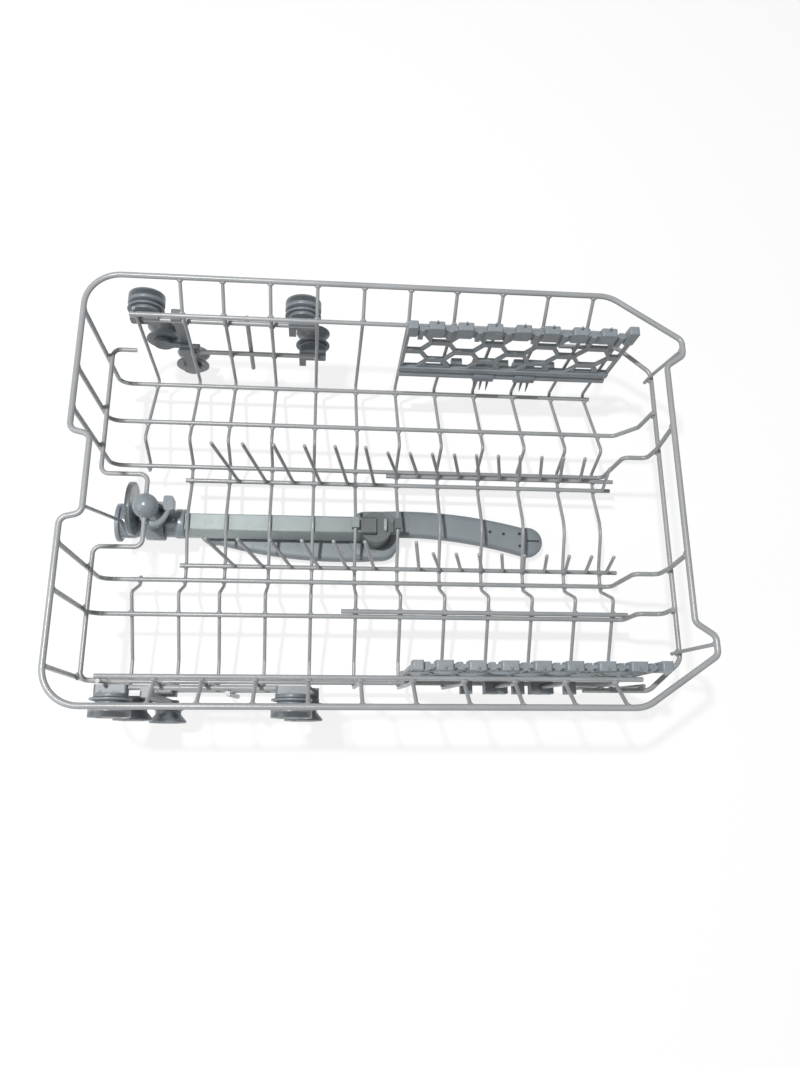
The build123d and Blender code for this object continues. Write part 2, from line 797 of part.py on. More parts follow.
# Cup shelves: a honeycomb panel on a hinge bar, with blocks along its free edge
shelf_front_x = rim_front_x - shelf_front_inset
shelf_rear_x = shelf_front_x - shelf_length
shelf_middle_x = (shelf_rear_x + shelf_front_x) / 2
hinge_y = wall_top_y - hinge_inset
hinge_z = below(hinge_drop)
clip_xs = cross_xs[clip_first - 1 : clip_last]
window_height = clip_ring_dia / 2 + window_margin
window_width = clip_width + 2 * window_margin
panel_depth = shelf_depth - block_rise
hex_top_row = hex_first_row + (hex_rows - 1) * hex_row_pitch
end_block_x = (shelf_length - end_block_width) / 2
stop_middle_x = (clip_xs[0] + clip_xs[-1]) / 2


def shelf(label, side):
    """One shelf, folded up against its wall; its panel stands on the hinge axis."""
    upright = Plane(origin=(shelf_middle_x, side * hinge_y, hinge_z), x_dir=(1, 0, 0), z_dir=(0, -1, 0))
    bar_end = Plane(origin=(shelf_rear_x, side * hinge_y, hinge_z), x_dir=(0, 1, 0), z_dir=(1, 0, 0))
    stop_root = Plane(origin=(stop_middle_x, side * hinge_y, hinge_z), x_dir=(1, 0, 0), z_dir=(0, side, 0))
    with BuildPart() as panel:
        with BuildSketch(upright):
            with Locations((0, panel_depth / 2)):
                Rectangle(shelf_length, panel_depth)
        extrude(amount=shelf_thickness / 2, both=True)
        with BuildSketch(upright):
            for row in range(hex_rows):
                with Locations((hex_shift + hex_pitch / 2 * (row % 2), hex_first_row + row * hex_row_pitch)):
                    with GridLocations(hex_pitch, 1, hex_columns, 1):
                        RegularPolygon(hex_radius, 6)
            for height in (hex_first_row - slot_offset, hex_top_row + slot_offset):
                with Locations((hex_shift + hex_pitch / 2, height)):
                    with GridLocations(hex_pitch, 1, hex_columns, 1):
                        Rectangle(slot_length, slot_height)
            with Locations((0, panel_depth / 2)):
                Rectangle(shelf_length - 2 * shelf_frame, panel_depth, mode=Mode.INTERSECT)
        extrude(amount=shelf_thickness, both=True, mode=Mode.SUBTRACT)
        with BuildSketch(upright):
            with Locations((0, (window_height + shelf_rib_height) / 2)):
                Rectangle(shelf_length, shelf_rib_height - window_height)
        extrude(amount=shelf_rib_thickness / 2, both=True)
        with BuildSketch(upright):
            with Locations((0, shelf_depth - block_height / 2)):
                with GridLocations(block_pitch, 1, block_count, 1):
                    RectangleRounded(block_width, block_height, block_fillet)
            with Locations((-end_block_x, shelf_depth - block_height / 2)):
                RectangleRounded(end_block_width, block_height, block_fillet)
            with Locations((end_block_x, shelf_depth + (prong_rise - block_height) / 2)):
                RectangleRounded(end_block_width, block_height + prong_rise, block_fillet)
        extrude(amount=block_thickness / 2, both=True)
        with BuildSketch(upright):
            with Locations((0, (post_foot + panel_depth) / 2)):
                with GridLocations(block_pitch, 1, block_count + 1, 1):
                    Rectangle(post_width, panel_depth - post_foot)
        extrude(amount=post_thickness / 2, both=True)
        with BuildSketch(upright):
            with Locations(*[(x - shelf_middle_x, window_height / 2) for x in clip_xs]):
                Rectangle(window_width, window_height)
        extrude(amount=shelf_rib_thickness, both=True, mode=Mode.SUBTRACT)
        with BuildSketch(bar_end):
            Circle(hinge_bar_dia / 2)
        extrude(amount=shelf_length)
        with BuildSketch(stop_root):
            with GridLocations(stop_pitch, 1, stop_count, 1):
                Rectangle(stop_width, stop_thickness)
        extrude(amount=stop_reach)
    panel.part.label = label
    export_step(panel.part, f"parts/{label}.step")


def shelf_clips(label, side):
    """The clips of one shelf: each rings the hinge bar, grips a cross wire and ends in three prongs."""
    back_y = wall_y(hinge_drop) + cross_dia / 2 + clip_back
    with BuildPart() as clips:
        for x in clip_xs:
            ring_start = (x - clip_width / 2, side * hinge_y, hinge_z)
            with BuildSketch(Plane(origin=ring_start, x_dir=(0, side, 0), z_dir=(1, 0, 0))):
                Circle(clip_ring_dia / 2)
                with Locations(((back_y - hinge_y) / 2, 0)):
                    Rectangle(back_y - hinge_y, clip_ring_dia)
                Circle(hinge_bar_dia / 2 + clip_bar_fit, mode=Mode.SUBTRACT)
            extrude(amount=clip_width)
            with BuildSketch(Plane.XY.offset(hinge_z)):
                with Locations((x, side * wall_y(hinge_drop))):
                    Circle(cross_dia / 2 + clip_wire_fit)
            extrude(amount=clip_ring_dia, both=True, mode=Mode.SUBTRACT)
            with BuildSketch(Plane.XY.offset(hinge_z - clip_ring_dia / 2)):
                for slot_x in (x - clip_slot_offset, x + clip_slot_offset):
                    with Locations((slot_x, side * (hinge_y + back_y) / 2)):
                        Rectangle(clip_slot_width, 2 * back_y - 2 * hinge_y)
            extrude(amount=clip_slot_height, mode=Mode.SUBTRACT)
    clips.part.label = label
    export_step(clips.part, f"parts/{label}.step")


for name, side in (("far", 1), ("near", -1)):
    shelf(f"cup_shelf_{name}", side)
    shelf_clips(f"shelf_clips_{name}", side)

# Inlet pipe: a turned half section with a flared mouth and a socket for the duct, and a round shield
pipe_rear_x = rim_rear_x + pipe_rear_inset
pipe_front_x = first_cross_x - pipe_wire_gap
pipe_z = below(pipe_drop)
pipe_axis = Axis((0, 0, pipe_z), (1, 0, 0))
shield_x = rim_rear_x + shield_inset
shield_end = Plane(origin=(shield_x, shield_side, pipe_z + shield_rise), x_dir=(0, 1, 0), z_dir=(1, 0, 0))
socket_x = pipe_front_x - pipe_ring_length
socket_radius = duct_spigot_dia / 2 + spigot_fit
with BuildPart() as inlet_pipe:
    with BuildSketch(Plane(origin=(0, 0, pipe_z), x_dir=(1, 0, 0), z_dir=(0, -1, 0))):
        with BuildLine():
            Polyline(
                (pipe_rear_x, mouth_dia / 2 - mouth_lip),
                (pipe_rear_x, mouth_dia / 2),
                (pipe_rear_x + mouth_length, mouth_dia / 2),
                (pipe_rear_x + mouth_length, neck_dia / 2),
                (shield_x, neck_dia / 2),
                (shield_x + shield_thickness, pipe_dia / 2),
                (socket_x - mouth_lip, pipe_dia / 2),
                (socket_x, pipe_ring_dia / 2),
                (pipe_front_x, pipe_ring_dia / 2),
                (pipe_front_x, socket_radius),
                (socket_x, socket_radius),
                (socket_x, pipe_bore_dia / 2),
                (pipe_rear_x + mouth_cone, pipe_bore_dia / 2),
                close=True,
            )
        make_face()
    revolve(axis=pipe_axis)
    with BuildSketch(shield_end):
        Circle(shield_dia / 2)
        with Locations((-shield_side, -shield_rise)):
            Circle(pipe_dia / 2 - weld_gap, mode=Mode.SUBTRACT)
    extrude(amount=shield_thickness)
inlet_pipe.part.label = "inlet_pipe"
export_step(inlet_pipe.part, "parts/inlet_pipe.step")

# Pipe clamp: a ring round the pipe, a stem with a dome round the rear wire, and a finger tab
clamp_ring = pipe_dia / 2 + clamp_fit + clamp_wall
clamp_start = Plane(origin=(saddle_x - clamp_length / 2, 0, pipe_z), x_dir=(0, 1, 0), z_dir=(1, 0, 0))
eye_z = below(rear_mid_drop)
collar_z = below(clamp_collar_drop)
tab_x = saddle_x + clamp_tab_lead
with BuildPart() as pipe_clamp:
    with BuildSketch(clamp_start):
        Circle(clamp_ring)
    extrude(amount=clamp_length)
    with BuildSketch(Plane(origin=(saddle_x, 0, pipe_z))):
        Circle(clamp_stem_dia / 2)
    extrude(amount=eye_z - pipe_z)
    with BuildSketch(Plane(origin=(saddle_x, clamp_collar_side, pipe_z))):
        Circle(clamp_collar_dia / 2)
    extrude(amount=collar_z - pipe_z)
    with BuildSketch(Plane(origin=(saddle_x, clamp_tab_side, collar_z))):
        with Locations((clamp_tab_lead / 2, 0)):
            Rectangle(clamp_tab_lead, clamp_bar_width)
    extrude(amount=clamp_bar_height)
    with BuildSketch(Plane(origin=(tab_x, clamp_tab_side, collar_z))):
        with Locations((clamp_tab_length / 2, 0)):
            RectangleRounded(clamp_tab_length, clamp_tab_width, clamp_tab_fillet)
    extrude(amount=clamp_tab_height)
    with Locations((saddle_x, 0, eye_z)):
        Sphere(clamp_dome_dia / 2)
    with BuildSketch(Plane(origin=(saddle_x, 0, eye_z), x_dir=(1, 0, 0), z_dir=(0, -1, 0))):
        Circle(floor_dia / 2 + clamp_fit)
    extrude(amount=clamp_dome_dia, both=True, mode=Mode.SUBTRACT)
    with BuildSketch(clamp_start.offset(-clamp_length)):
        Circle(pipe_dia / 2 + clamp_fit)
    extrude(amount=3 * clamp_length, mode=Mode.SUBTRACT)
pipe_clamp.part.label = "pipe_clamp"
export_step(pipe_clamp.part, "parts/pipe_clamp.step")

# Duct with the hub of the spray arm; two hooks on the hub hold the cross wires beside it
hook_xs = (cross_xs[4], cross_xs[5])
hub_x = (hook_xs[0] + hook_xs[1]) / 2
duct_rear_x = pipe_front_x + weld_gap
duct_section = [
    (-duct_top_width / 2, duct_top_drop),
    (duct_top_width / 2, duct_top_drop),
    (duct_width / 2, duct_bottom_drop),
    (-duct_width / 2, duct_bottom_drop),
]
spigot_rear_x = socket_x + weld_gap
hub_front_x = hook_xs[1] + hub_hook_length / 2
with BuildPart() as spray_duct:
    duct_end = Plane(origin=(duct_rear_x, 0, 0), x_dir=(0, 1, 0), z_dir=(1, 0, 0))
    with BuildSketch(duct_end):
        with BuildLine():
            Polyline(*[(y, below(drop)) for y, drop in duct_section], close=True)
        make_face()
    extrude(amount=hub_x - duct_rear_x)
    long_edges = spray_duct.edges().filter_by(Axis.X)
    fillet(long_edges, duct_edge)
    with BuildSketch(Plane(origin=(spigot_rear_x, 0, pipe_z), x_dir=(0, 1, 0), z_dir=(1, 0, 0))):
        Circle(duct_spigot_dia / 2)
    extrude(amount=duct_rear_x - spigot_rear_x)
    with BuildSketch(Plane(origin=(hub_x, 0, below(hub_bottom_drop)))):
        Circle(hub_dia / 2)
    extrude(amount=hub_bottom_drop - hub_top_drop)
    with BuildSketch(Plane(origin=(hub_x, 0, below(hub_top_drop)))):
        with Locations(((hub_front_x - hub_x) / 2, 0)):
            Rectangle(hub_front_x - hub_x, hub_hook_width)
    extrude(amount=-hub_lug_height)
    for x in hook_xs:
        with BuildSketch(Plane(origin=(x, 0, below(hub_top_drop)))):
            Rectangle(hub_hook_length, hub_hook_width)
        extrude(amount=hub_top_drop - arch_drop + hub_hook_rise)
    for x in hook_xs:
        hook_corners = cross_wire_corners(x, flared_top)
        with BuildLine() as hook_route:
            FilletPolyline(*hook_corners, radius=cross_wire_bends(hook_corners))
        hook_wire = hook_route.wires()[0]
        with BuildSketch(Plane(origin=hook_wire @ 0, z_dir=hook_wire % 0)):
            Circle(cross_dia / 2 + hook_fit)
        sweep(path=hook_wire, mode=Mode.SUBTRACT)
    with BuildSketch(Plane(origin=(spigot_rear_x, 0, pipe_z), x_dir=(0, 1, 0), z_dir=(1, 0, 0))):
        Circle(spigot_bore_dia / 2)
    extrude(amount=duct_rear_x + duct_wall - spigot_rear_x, mode=Mode.SUBTRACT)
    with BuildSketch(duct_end.offset(duct_wall)):
        with Locations((0, below((duct_top_drop + duct_bottom_drop) / 2))):
            Rectangle(duct_top_width - 2 * duct_wall, duct_bottom_drop - duct_top_drop - 2 * duct_wall)
    extrude(amount=hub_x - duct_rear_x - duct_wall, mode=Mode.SUBTRACT)
    with BuildSketch(Plane(origin=(hub_x, 0, below(hub_bottom_drop)))):
        Circle(stub_dia / 2)
    extrude(amount=-(arm_boss_rise + arm_thickness + arm_gap))
    with BuildSketch(Plane(origin=(hub_x, 0, nut_floor))):
        Circle(thread_dia / 2)
    extrude(amount=nut_height)
spray_duct.part.label = "spray_duct"
export_step(spray_duct.part, "parts/spray_duct.step")

# Spray arm: two bent blades, each the other turned half round, on a round boss
arm_top = below(hub_bottom_drop) - arm_gap - arm_boss_rise
arm_bottom = arm_top - arm_thickness
with BuildPart() as spray_arm:
    for turn in (0, 180):
        blade_dir = (cos(radians(turn)), sin(radians(turn)), 0)
        with BuildSketch(Plane(origin=(hub_x, 0, arm_bottom), x_dir=blade_dir, z_dir=(0, 0, 1))):
            with BuildLine():
                tip_far = (arm_tip_x, arm_tip_high)
                tip_near = (arm_tip_x, arm_tip_low)
                Spline((0, arm_root_high), (arm_mid_x, arm_mid_high), tip_far)
                ThreePointArc(tip_far, (arm_half_length, arm_tip_y), tip_near)
                Spline(tip_near, (arm_mid_x, arm_mid_low), (0, arm_root_low))
                Line((0, arm_root_low), (0, arm_root_high))
            make_face()
        extrude(amount=arm_thickness)
    with BuildSketch(Plane(origin=(hub_x, 0, arm_bottom))):
        Circle(arm_boss_dia / 2)
    extrude(amount=arm_thickness + arm_boss_rise)
    for turn in (0, 180):
        blade_dir = (cos(radians(turn)), sin(radians(turn)), 0)
        with BuildSketch(Plane(origin=(hub_x, 0, arm_top), x_dir=blade_dir, z_dir=(0, 0, 1))):
            with Locations(*nozzle_places):
                Circle(nozzle_dia / 2)
        extrude(amount=-nozzle_depth, mode=Mode.SUBTRACT)
    with BuildSketch(Plane(origin=(hub_x, 0, arm_bottom))):
        Circle(stub_dia / 2 + stub_fit)
    extrude(amount=arm_thickness + arm_boss_rise, mode=Mode.SUBTRACT)
spray_arm.part.label = "spray_arm"
export_step(spray_arm.part, "parts/spray_arm.step")

# Hub nut: holds the arm on the stub and is the lowest piece
with BuildPart() as hub_nut:
    with BuildSketch(Plane(origin=(hub_x, 0, 0))):
        Circle(nut_dia / 2)
    extrude(amount=nut_height)
    chamfer(hub_nut.faces().sort_by(Axis.Z)[0].edges(), nut_edge)
    with BuildSketch(Plane(origin=(hub_x, 0, nut_floor - thread_fit))):
        Circle(thread_dia / 2 + thread_fit)
    extrude(amount=nut_height, mode=Mode.SUBTRACT)
hub_nut.part.label = "hub_nut"
export_step(hub_nut.part, "parts/hub_nut.step")
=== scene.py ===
# %% [markdown]
# # A dishwasher's upper basket
# The basket is bent and welded steel wire under a grey nylon coat, with moulded plastic pieces clipped to it.
# The solids come from the frame, at their real size and place, and are never moved here. This lesson gives them
# their finishes, adds the small swellings that the coat leaves at the welds, a rounded spray arm and other moulded
# detail, breaks the sharp edges of the plastic, and sets up the camera and a plain white studio.

# %% Load the frame
import json
from math import radians

import bpy
import numpy as np
from mathutils import Matrix, Vector

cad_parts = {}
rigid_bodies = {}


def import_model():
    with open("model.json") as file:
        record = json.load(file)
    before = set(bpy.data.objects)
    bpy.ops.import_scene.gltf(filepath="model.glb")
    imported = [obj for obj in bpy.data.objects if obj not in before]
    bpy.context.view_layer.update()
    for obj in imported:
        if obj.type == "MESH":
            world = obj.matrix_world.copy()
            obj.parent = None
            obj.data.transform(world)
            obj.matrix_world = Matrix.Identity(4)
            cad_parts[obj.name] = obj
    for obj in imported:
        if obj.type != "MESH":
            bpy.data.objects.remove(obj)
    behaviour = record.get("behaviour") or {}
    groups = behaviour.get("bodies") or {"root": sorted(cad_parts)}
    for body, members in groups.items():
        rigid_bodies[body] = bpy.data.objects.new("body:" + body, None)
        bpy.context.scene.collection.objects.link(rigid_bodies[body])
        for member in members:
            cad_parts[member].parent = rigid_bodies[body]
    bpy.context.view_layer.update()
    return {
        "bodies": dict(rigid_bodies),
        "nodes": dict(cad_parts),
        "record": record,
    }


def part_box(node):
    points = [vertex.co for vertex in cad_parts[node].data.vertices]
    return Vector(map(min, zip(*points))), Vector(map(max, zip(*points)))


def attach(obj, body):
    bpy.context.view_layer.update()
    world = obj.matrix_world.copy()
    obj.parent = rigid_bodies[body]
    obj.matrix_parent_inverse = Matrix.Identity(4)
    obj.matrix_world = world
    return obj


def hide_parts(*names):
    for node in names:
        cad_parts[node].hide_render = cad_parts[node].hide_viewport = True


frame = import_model()
nodes = frame["nodes"]
MM = 0.001

# %% [markdown]
# ## Shader maths as plain expressions
# A material's pattern is arithmetic on values that change over the surface. Its Math nodes could be wired one by one,
# as in the shader editor, but that hides the formula. So one small class wraps a socket: an expression such as
# `0.3 + 0.1 * speckle` or `1 - mask` adds its own nodes. A second class keeps a node tree, and a third a material.

# %% Sockets that can be added and multiplied
class Value:
    """One output socket of a node tree, with the arithmetic that the finishes use."""

    def __init__(self, tree, socket):
        self.tree = tree
        self.socket = socket

    def maths(self, operation, first, second, clamp=False):
        """A Math node on two values, either of which may be a plain number."""
        return self.tree.node("ShaderNodeMath", {"operation": operation, "use_clamp": clamp}, {0: first, 1: second})

    def __add__(self, other):
        return self.maths("ADD", self, other)

    __radd__ = __add__

    def __mul__(self, other):
        return self.maths("MULTIPLY", self, other)

    __rmul__ = __mul__

    def __sub__(self, other):
        return self.maths("SUBTRACT", self, other)

    def __rsub__(self, other):
        return self.maths("SUBTRACT", other, self)

    def __truediv__(self, other):
        return self.maths("DIVIDE", self, other)

    def __rtruediv__(self, other):
        return self.maths("DIVIDE", other, self)

    def either(self, other):
        """The larger of two values, which is 1 where either of two masks is 1."""
        return self.maths("MAXIMUM", self, other)

    def clamped(self):
        """The value held between 0 and 1."""
        return self.maths("ADD", self, 0.0, clamp=True)

    def above(self, edge, width):
        """0 below the edge, 1 above it, with a straight ramp of the given width."""
        return ((self - edge) / width + 0.5).clamped()


# %% Trees and materials
class Wiring:
    """A node tree in the making: one method adds any node, another fills or links a socket."""

    def __init__(self, tree):
        self.links = tree.links
        self.nodes = tree.nodes

    def node(self, kind, settings=None, inputs=None, output=0):
        """Adds a node, applies its settings, fills or links its inputs, and returns one output as a Value."""
        made = self.nodes.new(kind)
        for key, setting in (settings or {}).items():
            setattr(made, key, setting)
        for key, given in (inputs or {}).items():
            self.feed(made.inputs[key], given)
        return Value(self, made.outputs[output])

    def feed(self, socket, given):
        """Links a Value to a socket, or sets the socket's own number or colour."""
        if isinstance(given, Value):
            self.links.new(given.socket, socket)
        else:
            socket.default_value = given


class Finish(Wiring):
    """A material in the making, built round the shader that every new material has."""

    def __init__(self, name):
        self.material = bpy.data.materials.new(name)
        self.material.use_nodes = True
        super().__init__(self.material.node_tree)
        self.shader = self.nodes["Principled BSDF"]

    def noise(self, size, detail):
        """Soft random spots about `size` metres across, from 0 to 1, in object coordinates."""
        place = self.node("ShaderNodeTexCoord", output="Object")
        return self.node("ShaderNodeTexNoise", {}, {"Vector": place, "Scale": 1.0 / size, "Detail": detail})

    def along_x(self):
        """The place along the basket, in metres."""
        place = self.node("ShaderNodeTexCoord", output="Object")
        return self.node("ShaderNodeSeparateXYZ", {}, {"Vector": place})

    def colours(self, mask, low, high):
        """The first colour where the mask is 0, the second where it is 1; each is given or worked out before."""
        low, high = (c if isinstance(c, Value) else (*c, 1.0) for c in (low, high))
        inputs = {0: mask, 6: low, 7: high}
        return self.node("ShaderNodeMix", {"data_type": "RGBA"}, inputs, output=2)

    def bump(self, height, depth, strength):
        """Turns a height from 0 to 1 into a relief `depth` metres deep."""
        return self.node("ShaderNodeBump", {}, {"Height": height, "Distance": depth, "Strength": strength})

    def surface(self, **sockets):
        """Sets or links the shader's sockets, given as words with _ for a space."""
        for words, given in sockets.items():
            self.feed(self.shader.inputs[words.replace("_", " ").title()], given)
        return self.material


# %% [markdown]
# ## Finishes
# The wire is dipped in nylon powder, which melts to a satin grey skin. It is never quite even: the tone drifts
# along the wire, fine grey specks show in it, and the skin has a faint orange-peel relief. Moulded plastic has slow
# flow marks across its colour, a fine grain from the mould, and the dull scuffs that dishes and hands leave. Painted
# pictures could show all this, but noises in object space need no file, have no seams and stay put on the piece. The
# duct darkens from its inlet end towards the hub, a painted falloff of the light, and is much darker beyond a line
# near the hub.

# %% Finishes
def coated_wire():
    """Satin grey: slow drift of tone plus fine specks, and a shallow orange-peel relief."""
    finish = Finish("coated_wire")
    drift = finish.noise(40 * MM, detail=1.0)
    specks = finish.noise(0.9 * MM, detail=3.0)
    peel = finish.noise(1.6 * MM, detail=1.0)
    tone = (0.65 * drift + 0.35 * specks).above(0.5, 0.7)
    return finish.surface(
        base_color=finish.colours(tone, (0.2, 0.208, 0.216), (0.3, 0.31, 0.318)),
        roughness=0.22 + 0.16 * specks,
        normal=finish.bump(peel, 0.12 * MM, 0.5),
    )


def moulded(name, dark, light, roughness, ends=()):
    """Moulded plastic: flow marks in the colour, mould grain in the relief, and scuffs that dull the gloss.

    Each of `ends` is a place along the basket, the width of a ramp there and the factor on the colour beyond it;
    on the duct the first paints the falloff of light towards the hub.
    """
    finish = Finish(name)
    flow = finish.noise(22 * MM, detail=2.0)
    fine = finish.noise(0.35 * MM, detail=2.0)
    scuffs = finish.noise(5 * MM, detail=6.0).above(0.62, 0.12)
    tone = (0.75 * flow + 0.25 * fine).above(0.5, 0.6)
    colour = finish.colours(tone, dark, light)
    # The ends darken the colour beyond a place; on the duct the first is painted falloff of the light.
    for place, width, factor in ends:
        beyond = finish.colours(tone, np.array(dark) * factor, np.array(light) * factor)
        colour = finish.colours(finish.along_x().above(place * MM, width * MM), colour, beyond)
    return finish.surface(
        base_color=colour,
        roughness=roughness + 0.12 * fine + 0.14 * scuffs,
        normal=finish.bump(fine, 0.05 * MM, 0.4),
    )


finishes = {
    "coated_wire": coated_wire(),
    "shelf_plastic": moulded("shelf_plastic", (0.155, 0.175, 0.19), (0.21, 0.235, 0.255), 0.34),
    "clip_plastic": moulded("clip_plastic", (0.11, 0.125, 0.14), (0.16, 0.18, 0.195), 0.36),
    "pipe_plastic": moulded("pipe_plastic", (0.15, 0.175, 0.195), (0.21, 0.24, 0.26), 0.2),
    # The duct darkens towards the hub, a painted falloff of the light, and is much darker beyond a line near the hub.
    "duct_plastic": moulded("duct_plastic", (0.265, 0.31, 0.315), (0.32, 0.37, 0.375), 0.36,
                            ends=((-85.0, 170.0, 0.55), (-18.0, 5.0, 0.24))),
    "roller_plastic": moulded("roller_plastic", (0.12, 0.14, 0.155), (0.18, 0.20, 0.22), 0.28),
}
arm_plastic = moulded("arm_plastic", (0.145, 0.168, 0.182), (0.185, 0.212, 0.228), 0.42)
post_plastic = moulded("post_plastic", (0.22, 0.255, 0.26), (0.28, 0.315, 0.32), 0.36)
# Near-black painted shade for the floors of the jets and the slit, in place of the dark inside the hollow arm.
jet_painted_shade = moulded("jet_painted_shade", (0.008, 0.009, 0.01), (0.014, 0.016, 0.018), 0.6)
for entry in frame["record"]["subparts"]:
    mesh = nodes[entry["node"]].data
    mesh.materials.clear()
    mesh.materials.append(finishes[entry["material_slot"]])
print("finishes", sorted(finishes))

# %% [markdown]
# ## Skins over rings
# Every new piece is a skin over stacked rings of points. The rings of many equal bodies lie in one array, with the
# bodies first, then the rings of a body, then the points of a ring, so one piece of arithmetic places them all. A
# ring turns anticlockwise about the direction in which the rings are stacked, which makes the faces look outwards.
# Blender's own shapes with modifiers would do as well, one object for each body; arrays keep hundreds in one mesh.

# %% Skins
def skin_faces(bodies, rings, points, loop=False):
    """Quads from each ring to the next; fans to two added middle points close the ends unless the rings loop."""
    index = np.arange(bodies * rings * points).reshape(bodies, rings, points)
    low = index if loop else index[:, :-1]
    high = np.roll(index, -1, axis=1) if loop else index[:, 1:]
    quads = np.stack([low, np.roll(low, -1, 2), np.roll(high, -1, 2), high], axis=-1).reshape(-1, 4)
    if loop:
        return [quads]
    middle = index.size + np.arange(bodies * 2).reshape(bodies, 2, 1).repeat(points, axis=2)
    first = np.stack([np.roll(index[:, 0], -1, 1), index[:, 0], middle[:, 0]], axis=-1).reshape(-1, 3)
    last = np.stack([index[:, -1], np.roll(index[:, -1], -1, 1), middle[:, 1]], axis=-1).reshape(-1, 3)
    return [quads, first, last]


def skin(rings, loop=False):
    """Vertices in millimetres and arrays of faces of a skin over rings given as (bodies, rings, points, 3)."""
    bodies, count, points, _ = rings.shape
    vertices = rings.reshape(-1, 3)
    if not loop:
        vertices = np.concatenate([vertices, rings[:, [0, -1]].mean(axis=2).reshape(-1, 3)])
    return vertices, skin_faces(bodies, count, points, loop)


def add_piece(name, skins, body, materials, sharp=40.0, dark=None):
    """Joins skins into one mesh piece that rides on a body; `dark` picks the faces of the second material."""
    starts = np.cumsum([0] + [len(vertices) for vertices, _ in skins])
    shifted = [part + start for (_, parts), start in zip(skins, starts) for part in parts]
    faces = [face for part in shifted for face in part.tolist()]
    vertices = np.concatenate([vertices for vertices, _ in skins]) * MM
    mesh = bpy.data.meshes.new(name)
    mesh.from_pydata(vertices.tolist(), [], faces)
    for material in materials:
        mesh.materials.append(material)
    mesh.shade_smooth()
    mesh.set_sharp_from_angle(angle=radians(sharp))
    if dark is not None:
        centres = np.empty(len(mesh.polygons) * 3)
        mesh.polygons.foreach_get("center", centres)
        mesh.polygons.foreach_set("material_index", dark(centres.reshape(-1, 3) / MM).astype(np.int32))
    piece = bpy.data.objects.new(name, mesh)
    bpy.context.scene.collection.objects.link(piece)
    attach(piece, body)
    print(name, "faces", len(mesh.polygons))
    return piece


def circle(points):
    """Cosines and sines of equal steps round a circle."""
    angle = 2 * np.pi * np.arange(points) / points
    return np.cos(angle), np.sin(angle)


def squircle(points, power):
    """Rounded square: each coordinate of a circle's points raised to 2/power, keeping its sign."""
    across, up = circle(points)
    return np.sign(across) * np.abs(across) ** (2 / power), np.sign(up) * np.abs(up) ** (2 / power)


# %% [markdown]
# ## Swellings of the coat at the welds
# Where two wires cross, the melted nylon runs together and fills the corners between them. A union of the wires with
# rounded seams would give that form, but with hundreds of crossings it is slow and fails easily. Each swelling is an
# egg instead, sunk in both wires at the touching point: a little longer than the wires are thick, and flat enough to
# stay between them. The wires' places come from the boxes of their solids where a box can tell them.

# %% Places of the wires
RIM_Z = 193.7
RIM_R = 2.5
RIM_SIDE_Y = 180.0
RIM_REAR_X = -260.0
RIM_FRONT_X = 243.8
EAR_X = 259.7
EAR_Y = 130.0
FLOOR_R = 2.1
INNER_FLOOR = (56.5, 93.1)
OUTER_FLOOR = {1: 146.0, -1: 151.0}
CROSS_R = 1.6
REAR_HALF_X = -224.0
WALL_TOP_Y = 160.0
WALL_LEAN = 0.042
FLARE_DROP = 24.0
FLARE_WIDTH = 20.0
REAR_TOUCH_X = -257.85
REAR_WIRE_DROP = 88.0
FRONT_TOUCH_X = 254.35
FRONT_RING_DROP = 62.0
UPPER_RAIL_DROP = 45.0
LOWER_RAIL_DROP = 100.0
along_x, along_y, upright = np.eye(3)


def box_mm(node):
    """Lowest and highest corner of a solid's box, in millimetres."""
    return np.array(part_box(node)) / MM


def wall_y(drop):
    """Distance of the leaning wall from the middle plane: it shrinks evenly with the drop below the flare."""
    return WALL_TOP_Y - WALL_LEAN * (drop - FLARE_DROP)


cross_xs = [float(box_mm(f"cross_wire_{i:02d}")[:, 0].mean()) for i in range(1, 12)]
print("cross wires at", [round(x, 1) for x in cross_xs])

# %% Welds of the floor and the tines
COAT_RUN = 1.4
CROSS_RUN = CROSS_R + COAT_RUN
FLOOR_RUN = FLOOR_R + COAT_RUN
FILLET_HIGH = 1.9
TINE_FILLET_HIGH = 2.3
SLOPES = {
    "floor_wire_1": 0.559, "floor_wire_2": 0.559, "floor_wire_3": 0.0, "floor_wire_4": 0.0, "floor_wire_5": 0.49,
    "floor_wire_6": 0.0, "tine_rail_far": 0.0, "tine_rail_near": 0.0, "tine_bar": 0.0, "doubling_wire": 0.49,
}
TALL_TINES = -137.0 + 26.6 * np.arange(6)
SHORT_FAR_TINES = 19.0 + 20.7 * np.arange(10)
SHORT_NEAR_TINES = 59.5 + 20.7 * np.arange(9)
EXTRA_TALL_X = 39.5
EXTRA_SHORT_X = 228.0
TINE_FEET = {
    "tine_rail_far": [*TALL_TINES, EXTRA_SHORT_X],
    "tine_rail_near": [*TALL_TINES, EXTRA_TALL_X, *SHORT_NEAR_TINES],
    "tine_bar": SHORT_FAR_TINES,
}
fillets = []


def fillet(centre, along, over, half_along, half_across, half_over=FILLET_HIGH):
    """Notes one egg: its middle, the first wire's direction, the direction from wire to wire, and its half sizes."""
    fillets.append((centre, along, np.cross(over, along), over, (half_along, half_across, half_over)))


for node, slope in SLOPES.items():
    low, high = box_mm(node)
    y = (low[1] + high[1]) / 2
    over = np.array([0.0, np.sign(y) * slope, 1.0]) / np.hypot(1.0, slope)
    for x in cross_xs + [REAR_HALF_X]:
        if low[0] < x < high[0]:
            fillet(np.array([x, y, low[2] + FLOOR_R]) - over * FLOOR_R, along_x, over, CROSS_RUN, FLOOR_RUN)
for node, xs in TINE_FEET.items():
    low, high = box_mm(node)
    for x in xs:
        foot = np.array([x, (low[1] + high[1]) / 2, high[2]])
        fillet(foot, along_x, upright, CROSS_RUN, FLOOR_R, TINE_FILLET_HIGH)
print("welds of the floor", len(fillets))

